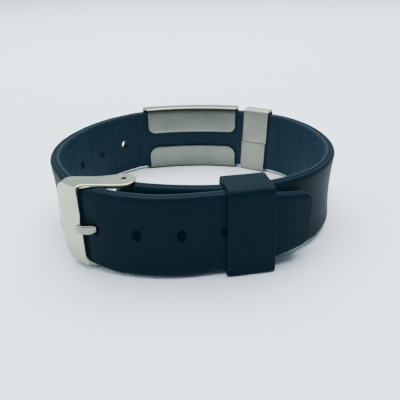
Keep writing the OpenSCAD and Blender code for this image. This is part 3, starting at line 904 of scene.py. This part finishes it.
# %% Node helpers
def group(name, inputs, outputs):
    """An empty shader group with float or vector inputs and outputs, and its two end nodes."""
    tree = bpy.data.node_groups.new(name, "ShaderNodeTree")
    for label, kind, value in inputs:
        socket = tree.interface.new_socket(name=label, in_out="INPUT", socket_type=kind)
        if value is not None:
            socket.default_value = value
    for label, kind in outputs:
        tree.interface.new_socket(name=label, in_out="OUTPUT", socket_type=kind)
    return tree, tree.nodes.new("NodeGroupInput"), tree.nodes.new("NodeGroupOutput")


def add(tree, kind, links=(), **values):
    """A node with its properties set, and its inputs linked or given a constant."""
    node = tree.nodes.new(kind)
    for key, value in values.items():
        setattr(node, key, value)
    for socket, source in dict(links).items():
        if isinstance(source, bpy.types.NodeSocket):
            tree.links.new(source, node.inputs[socket])
        else:
            node.inputs[socket].default_value = source
    return node


# %% The grain group
FLOAT, VECTOR = "NodeSocketFloat", "NodeSocketVector"
grain, grain_in, grain_out = group(
    "Grain",
    [("Vector", VECTOR, None), ("Scale", FLOAT, 1000.0), ("Low", FLOAT, 0.3), ("High", FLOAT, 0.6)],
    [("Value", FLOAT), ("Height", FLOAT)])
noise = add(grain, "ShaderNodeTexNoise", {
    "Vector": grain_in.outputs["Vector"], "Scale": grain_in.outputs["Scale"],
    "Detail": 4.0, "Roughness": 0.6})
ranged = add(grain, "ShaderNodeMapRange", {
    "Value": noise.outputs["Fac"], "From Min": 0.3, "From Max": 0.7,
    "To Min": grain_in.outputs["Low"], "To Max": grain_in.outputs["High"]})
grain.links.new(ranged.outputs["Result"], grain_out.inputs["Value"])
grain.links.new(noise.outputs["Fac"], grain_out.inputs["Height"])

# %% The smudge group
smudge, smudge_in, smudge_out = group(
    "Smudge", [("Vector", VECTOR, None), ("Scale", FLOAT, 60.0)], [("Mask", FLOAT)])
slow = add(smudge, "ShaderNodeTexNoise", {
    "Vector": smudge_in.outputs["Vector"], "Scale": smudge_in.outputs["Scale"],
    "Detail": 3.0, "Distortion": 0.6})
soft = add(smudge, "ShaderNodeMapRange", {
    "Value": slow.outputs["Fac"], "From Min": 0.35, "From Max": 0.7}, interpolation_type="SMOOTHSTEP")
smudge.links.new(soft.outputs["Result"], smudge_out.inputs["Mask"])
print("node groups:", [tree.name for tree in (grain, smudge)])


# %% Material helpers
def material(name):
    """A fresh material: its tree, its Principled BSDF and its texture coordinates."""
    made = bpy.data.materials.new(name)
    made.use_nodes = True
    tree = made.node_tree
    return made, tree, tree.nodes["Principled BSDF"], tree.nodes.new("ShaderNodeTexCoord")


def placed(tree, shared, links):
    """A shared group in a material, with the material's own values."""
    return add(tree, "ShaderNodeGroup", links, node_tree=shared)


def mixed(tree, mask, first, second):
    """Colour from the first to the second by a mask, each a tone or another node's colour."""
    ends = [c if isinstance(c, bpy.types.NodeSocket) else (*c, 1) for c in (first, second)]
    mix = add(tree, "ShaderNodeMix", {0: mask, 6: ends[0], 7: ends[1]}, data_type="RGBA")
    return mix.outputs[2]


def surface(tree, shader, colour, grained, strength, distance):
    """Links a colour, and a placed grain as roughness and as a bump, to the shader."""
    tree.links.new(colour, shader.inputs["Base Color"])
    tree.links.new(grained.outputs["Value"], shader.inputs["Roughness"])
    raised = add(tree, "ShaderNodeBump", {
        "Height": grained.outputs["Height"], "Strength": strength, "Distance": distance})
    tree.links.new(raised.outputs["Normal"], shader.inputs["Normal"])


# %% [markdown]
# ## Matt dark blue silicone
#
# Moulded silicone of a very dark blue-green. Its skin has a very fine even grain, and handling
# leaves it slightly greyer in places. The inner face is painted a tone paler than the outer
# one: painted light, for the brighter light that falls on it. The strap's UV map tells the
# material which face it is on. A very faint emission is painted light too: it lifts the deepest
# shade, in the holes and crevices, so that it is not quite black. It stands partly for the light
# that the rubber scatters within itself, which subsurface scattering would give slowly and with noise.

# %% Silicone
silicone, tree, shader, place = material("silicone")
fine = placed(tree, grain, {
    "Vector": place.outputs["Object"], "Scale": 2600.0, "Low": 0.46, "High": 0.60})
worn = placed(tree, smudge, {"Vector": place.outputs["Object"], "Scale": 90.0}).outputs["Mask"]
outer_tone = mixed(tree, worn, (0.0006, 0.0036, 0.0062), (0.0011, 0.0050, 0.0080))
# Painted light: the inner face's paler tone stands for the brighter light that falls on it
inner_painted_light_tone = mixed(tree, worn, (0.0078, 0.0168, 0.0255), (0.0098, 0.0200, 0.0300))
painted_light_side = add(tree, "ShaderNodeSeparateXYZ", {"Vector": place.outputs["UV"]})
surface(tree, shader, mixed(tree, painted_light_side.outputs["Y"], inner_painted_light_tone, outer_tone), fine, 0.12, 0.00004)
shader.inputs["IOR"].default_value = 1.42
shader.inputs["Specular IOR Level"].default_value = 0.05
# Painted light: a faint blue glow that lifts the shade in holes and crevices above black
shader.inputs["Emission Color"].default_value = (0.12, 0.63, 1.0, 1)
shader.inputs["Emission Strength"].default_value = 0.013
print("silicone:", len(tree.nodes), "nodes")

# %% [markdown]
# ## Brushed steel
#
# The plate and the clip are satin steel, brushed along the strap, and the clip is the paler
# and duller of the two. Brushing could be modelled as scratches, but they are far finer than
# a pixel. It is noise that is stretched many times along one direction of the sheet's own UV
# map. It changes the roughness and tilts the surface a little from line to line.

# %% Brushed steel
def brushed(name, tone, smoothest, roughest):
    """Satin steel of a tone, from dark to light where it is worn, with brushed lines."""
    made, tree, shader, place = material(name)
    drawn = add(tree, "ShaderNodeMapping", {"Vector": place.outputs["UV"], "Scale": (1.2, 60.0, 1.0)})
    streaks = placed(tree, grain, {
        "Vector": drawn.outputs["Vector"], "Scale": 3.0, "Low": smoothest, "High": roughest})
    worn = placed(tree, smudge, {"Vector": place.outputs["Object"], "Scale": 120.0}).outputs["Mask"]
    dark, light = ([share * part for part in tone] for share in (0.93, 1.07))
    surface(tree, shader, mixed(tree, worn, dark, light), streaks, 0.25, 0.00003)
    shader.inputs["Metallic"].default_value = 1.0
    return made


plate_steel = brushed("plate_steel", (0.15, 0.157, 0.133), 0.24, 0.36)
clip_steel = brushed("clip_steel", (0.275, 0.28, 0.235), 0.50, 0.62)
print("steel:", plate_steel.name, "and", clip_steel.name)

# %% [markdown]
# ## Polished nickel
#
# The buckle is plated and polished. It is smoother than the steel, a little warm, and its
# reflections are softened by very fine wear. A plain metal with one roughness would look like
# chrome, so grain and smudges vary it. The prong is polished more, and its tone is set darker.

# %% Nickel
def polished(name, tone, smoothest, roughest):
    """Polished metal of a tone, hazy with fine wear, and a little darker in places."""
    made, tree, shader, place = material(name)
    haze = placed(tree, grain, {
        "Vector": place.outputs["Object"], "Scale": 900.0, "Low": smoothest, "High": roughest})
    worn = placed(tree, smudge, {"Vector": place.outputs["Object"], "Scale": 150.0}).outputs["Mask"]
    dark, light = ([share * part for part in tone] for share in (0.92, 1.08))
    surface(tree, shader, mixed(tree, worn, dark, light), haze, 0.05, 0.00003)
    shader.inputs["Metallic"].default_value = 1.0
    return made


nickel = polished("buckle_metal", (0.37, 0.38, 0.275), 0.17, 0.25)
prong_nickel = polished("prong_metal", (0.22, 0.229, 0.18), 0.12, 0.20)
print("metal:", nickel.name, "and", prong_nickel.name)

# %% [markdown]
# ## Put the pieces in the frame
#
# The bracelet has no joint that moves by itself, so every piece rides the one body. Each new
# piece stands for the CAD node of the same part. That could be set piece by piece as each is
# made, but one table of piece, node, slot and finish keeps the order in sight.

# %% Ride, replace and dress
for piece, node, slot, finish in [
        (strap, "strap", "silicone", silicone),
        (keeper, "keeper", "silicone", silicone),
        (plate, "id_plate", "brushed_steel", plate_steel),
        (clip, "clip", "brushed_steel", clip_steel),
        (buckle, "buckle_frame", "buckle_metal", nickel),
        (spring_bar, "buckle_pin", "buckle_metal", nickel),
        (prong, "buckle_prong", "buckle_metal", prong_nickel)]:
    piece.data.materials.clear()
    piece.data.materials.append(finish)
    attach(piece, "root")
    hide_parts(node)
    print(f"{piece.name} stands for {node}, in {finish.name}")

# %% [markdown]
# ## Floor and dark card
#
# The photograph has a plain pale surface. A floor that curves up behind the object, as a
# studio's paper does, gives that without a horizon. Polished metal looks like what stands
# round it, and the buckle's darker parts show that it was dark behind the camera. A world
# picture could hold that, but one dark card there is enough. It is seen in reflections only.

# %% The floor
FLOOR_NEAR, FLOOR_FLAT, FLOOR_TOP, COVE_R, FLOOR_HALF = -0.6, 1.6, 2.2, 0.8, 2.4
cove_turn = np.linspace(0, np.pi / 2, 17)
cove_y = np.concatenate([[FLOOR_NEAR, 0], FLOOR_FLAT + COVE_R * np.sin(cove_turn),
                         [FLOOR_FLAT + COVE_R]])
cove_z = np.concatenate([[0, 0], COVE_R * (1 - np.cos(cove_turn)), [FLOOR_TOP]])
cove_x = np.linspace(-FLOOR_HALF, FLOOR_HALF, 5)
floor_points = np.stack(np.broadcast_arrays(cove_x[None, :], cove_y[:, None], cove_z[:, None]), -1)
floor = solid("floor", [grid(floor_points)])
paper, tree, shader, place = material("paper")
speck = placed(tree, grain, {
    "Vector": place.outputs["Object"], "Scale": 400.0, "Low": 0.75, "High": 0.85})
tree.links.new(speck.outputs["Value"], shader.inputs["Roughness"])
shader.inputs["Base Color"].default_value = (0.74, 0.84, 0.92, 1)
shader.inputs["Specular IOR Level"].default_value = 0.2
floor.data.materials.append(paper)
floor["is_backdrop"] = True
print(f"floor: {len(floor.data.polygons)} faces")

# %% The card
card_points = np.array([[(-0.7, -0.8, 0.02), (0.7, -0.8, 0.02)], [(-0.7, -0.5, 0.9), (0.7, -0.5, 0.9)]])
card = solid("dark_card", [grid(card_points)], turn_out=False)
cloth, tree, shader, place = material("dark_cloth")
weave = placed(tree, grain, {
    "Vector": place.outputs["Object"], "Scale": 300.0, "Low": 0.8, "High": 0.95})
tree.links.new(weave.outputs["Value"], shader.inputs["Roughness"])
shader.inputs["Base Color"].default_value = (0.02, 0.02, 0.022, 1)
card.data.materials.append(cloth)
card.visible_camera = False  # it shows in reflections only
card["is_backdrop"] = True
print("card:", cloth.name)

# %% [markdown]
# ## Light
#
# The photograph's light is wide and soft, and comes from above, so its shadow is faint and
# close to the strap. A large square lamp over the object makes that. A second one lights the
# background, a small one fills in from the left, and a dim pale world fills the rest. One
# sun or spot would be simpler, but its shadow would be too hard.

# %% The light
def softbox(name, at, towards, size, power, colour=(1, 1, 1)):
    """A square area light at a place, turned towards a point."""
    lamp = bpy.data.lights.new(name, "AREA")
    lamp.size, lamp.energy, lamp.color = size, power, colour
    box = bpy.data.objects.new(name, lamp)
    box.location = at
    box.rotation_mode = "QUATERNION"
    box.rotation_quaternion = (Vector(towards) - Vector(at)).to_track_quat("-Z", "Y")
    bpy.context.scene.collection.objects.link(box)
    return box


softbox("top light", (0.0, 0.15, 0.75), (0, 0, 0), 0.9, 22.0)
softbox("back light", (0.0, 0.9, 1.5), (0, 2.0, 0.5), 1.6, 40.0)
softbox("left light", (-0.7, -0.2, 0.45), (0, 0, 0.01), 0.5, 3.5)
world = bpy.data.worlds.new("studio")
world.use_nodes = True
sky = world.node_tree.nodes["Background"].inputs
sky["Color"].default_value = (0.74, 0.86, 0.96, 1)
sky["Strength"].default_value = 0.4
bpy.context.scene.world = world
print("lamps:", [lamp.name for lamp in bpy.data.lights])

# %% [markdown]
# ## Camera
#
# The camera stands where the photo's perspective puts it: 110 mm in front and 58 mm up,
# looking down by 27 degrees and turned by 1 degree. Its place could be found by eye, but the
# strap's edges, measured in the picture, settle it better. The lens follows from the focal
# length in pixels. Blender's camera looks along its own -Z with +Y up, so its three axes are
# worked out and become the columns of its matrix.

# %% The camera
FOCAL_PX, FRAME_PX, SENSOR = 448.0, 400.0, 36.0
CAMERA_AT = (0.00146, -0.10983, 0.0583)
PITCH, ROLL = math.radians(27.13), math.radians(1.18)
forward = Vector((0, math.cos(PITCH), -math.sin(PITCH)))
right = Vector((1, 0, 0))
down = forward.cross(right)
right_rolled = right * math.cos(ROLL) + down * math.sin(ROLL)
down_rolled = down * math.cos(ROLL) - right * math.sin(ROLL)
camera_data = bpy.data.cameras.new("camera")
camera_data.sensor_width = SENSOR
camera_data.lens = SENSOR * FOCAL_PX / FRAME_PX
camera_data.clip_start = 0.005
camera = bpy.data.objects.new("camera", camera_data)
turned = Matrix((right_rolled, -down_rolled, -forward)).transposed().to_4x4()
camera.matrix_world = Matrix.Translation(CAMERA_AT) @ turned
bpy.context.scene.collection.objects.link(camera)
bpy.context.scene.camera = camera
print(f"lens: {camera_data.lens:.2f} mm")

# %% [markdown]
# ## The visual box
#
# A dressed model should fill the same box as the solids it stands for. The visual box is
# written down.

# %% Write down the visual box
low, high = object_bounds()
print("visual box", [round(v / MM, 2) for v in (*low, *high)])
